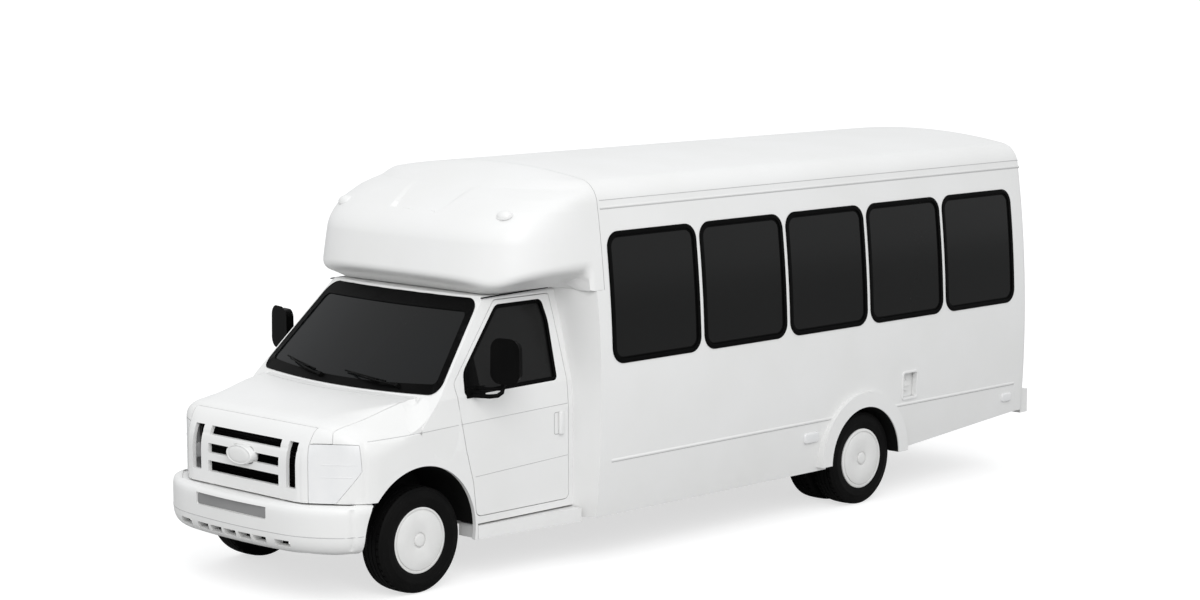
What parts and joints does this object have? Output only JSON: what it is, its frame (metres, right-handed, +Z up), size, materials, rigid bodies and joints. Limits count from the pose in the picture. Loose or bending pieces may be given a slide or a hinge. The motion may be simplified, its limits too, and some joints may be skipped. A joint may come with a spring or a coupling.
{
  "type": "minibus",
  "caption": "Shuttle minibus: a van cab with a hinged hood on a ladder frame, and a wider coach body with side windows, an entry with two leaves and a rear door.",
  "frame": {"origin": "on the ground at the centre of the overall bounding box", "axes": "+X to the vehicle's left, +Y to its rear, +Z up"},
  "size_m": [2.672, 7.6999, 2.842],
  "materials": {
    "body_paint": "satin",
    "wheel_paint": "satin",
    "window_glass": "gloss",
    "lamp_lens": "gloss",
    "black_trim": "matte",
    "tyre_rubber": "matte",
    "chassis_black": "satin",
    "engine_iron": "cast",
    "exhaust_steel": "brushed",
    "floor_board": "matte",
    "seat_fabric": "woven"
  },
  "bodies": {
    "vehicle": {"body_floor": "floor_board", "cab_seats": "seat_fabric", "cab_shell": "body_paint", "chassis_frame": "chassis_black", "cowl": "black_trim", "dashboard": "black_trim", "driveshaft": "chassis_black", "engine": "engine_iron", "entry_steps": "floor_board", "exhaust": "exhaust_steel", "fairings": "body_paint", "fenders": "body_paint", "front_axle": "chassis_black", "front_bumper": "body_paint", "front_cap": "body_paint", "front_liners": "black_trim", "fuel_filler": "black_trim", "fuel_tank": "chassis_black", "grille": "body_paint", "headlamps": "lamp_lens", "passenger_seats": "seat_fabric", "rear_axle": "chassis_black", "rear_bumper": "body_paint", "rear_wall": "body_paint", "roof": "body_paint", "running_boards": "black_trim", "side_walls": "body_paint", "side_windows": "window_glass", "skirts": "body_paint", "steering_wheel": "black_trim", "tail_lamps": "lamp_lens", "wheel_flares": "body_paint", "wheelhouses": "floor_board", "windshield": "window_glass"},
    "hood": {"hood": "body_paint"},
    "cab_door_left": {"cab_door_left": "body_paint", "door_glass_left": "window_glass", "mirror_left": "black_trim"},
    "cab_door_right": {"cab_door_right": "body_paint", "door_glass_right": "window_glass", "mirror_right": "black_trim"},
    "entry_leaf_front": {"entry_leaf_front": "body_paint", "entry_glass_front": "window_glass"},
    "entry_leaf_rear": {"entry_leaf_rear": "body_paint", "entry_glass_rear": "window_glass"},
    "rear_door": {"rear_door": "body_paint", "rear_door_glass": "window_glass"},
    "knuckle_left": {"knuckle_left": "chassis_black"},
    "knuckle_right": {"knuckle_right": "chassis_black"},
    "track_rod": {"track_rod": "chassis_black"},
    "front_wheel_left": {"wheel_front_left": "wheel_paint", "tyre_front_left": "tyre_rubber"},
    "front_wheel_right": {"wheel_front_right": "wheel_paint", "tyre_front_right": "tyre_rubber"},
    "rear_wheels_left": {"wheels_rear_left": "wheel_paint", "tyres_rear_left": "tyre_rubber"},
    "rear_wheels_right": {"wheels_rear_right": "wheel_paint", "tyres_rear_right": "tyre_rubber"}
  },
  "joints": [
    {"name": "hood_hinge", "type": "hinge", "parent": "vehicle", "child": "hood", "pos_m": [0, -2.86, 1.35], "axis": [-1, 0, 0], "range_deg": [0, 50]},
    {"name": "cab_door_left_hinge", "type": "hinge", "parent": "vehicle", "child": "cab_door_left", "pos_m": [1, -2.585, 1], "axis": [0, 0, -1], "range_deg": [0, 68]},
    {"name": "cab_door_right_hinge", "type": "hinge", "parent": "vehicle", "child": "cab_door_right", "pos_m": [-1, -2.585, 1], "axis": [0, 0, 1], "range_deg": [0, 68]},
    {"name": "entry_front_hinge", "type": "hinge", "parent": "vehicle", "child": "entry_leaf_front", "pos_m": [-1.215, -1.293, 1.2], "axis": [0, 0, 1], "range_deg": [0, 85]},
    {"name": "entry_rear_hinge", "type": "hinge", "parent": "vehicle", "child": "entry_leaf_rear", "pos_m": [-1.215, -0.507, 1.2], "axis": [0, 0, -1], "range_deg": [0, 85]},
    {"name": "rear_door_hinge", "type": "hinge", "parent": "vehicle", "child": "rear_door", "pos_m": [0.412, 3.735, 1.5], "axis": [0, 0, -1], "range_deg": [0, 110]},
    {"name": "steer_left", "type": "hinge", "parent": "vehicle", "child": "knuckle_left", "pos_m": [0.673, -2.93, 0.372], "axis": [0, 0, 1], "range_deg": [-32, 32]},
    {"name": "steer_right", "type": "hinge", "parent": "vehicle", "child": "knuckle_right", "pos_m": [-0.673, -2.93, 0.372], "axis": [0, 0, 1], "range_deg": [-32, 32]},
    {"name": "track_rod_pivot", "type": "hinge", "parent": "knuckle_left", "child": "track_rod", "pos_m": [0.673, -2.765, 0.372], "axis": [0, 0, 1], "range_deg": [-32, 32]},
    {"name": "front_wheel_left_spin", "type": "hinge", "parent": "knuckle_left", "child": "front_wheel_left", "pos_m": [0.833, -2.93, 0.372], "axis": [1, 0, 0], "continuous": true},
    {"name": "front_wheel_right_spin", "type": "hinge", "parent": "knuckle_right", "child": "front_wheel_right", "pos_m": [-0.833, -2.93, 0.372], "axis": [1, 0, 0], "continuous": true},
    {"name": "rear_wheels_left_spin", "type": "hinge", "parent": "vehicle", "child": "rear_wheels_left", "pos_m": [0.952, 1.54, 0.372], "axis": [1, 0, 0], "continuous": true},
    {"name": "rear_wheels_right_spin", "type": "hinge", "parent": "vehicle", "child": "rear_wheels_right", "pos_m": [-0.952, 1.54, 0.372], "axis": [1, 0, 0], "continuous": true}
  ],
  "couplings": [
    {"joint": "entry_rear_hinge", "follows": "entry_front_hinge", "ratio": 1},
    {"joint": "steer_right", "follows": "steer_left", "ratio": 1},
    {"joint": "track_rod_pivot", "follows": "steer_left", "ratio": -1}
  ]
}
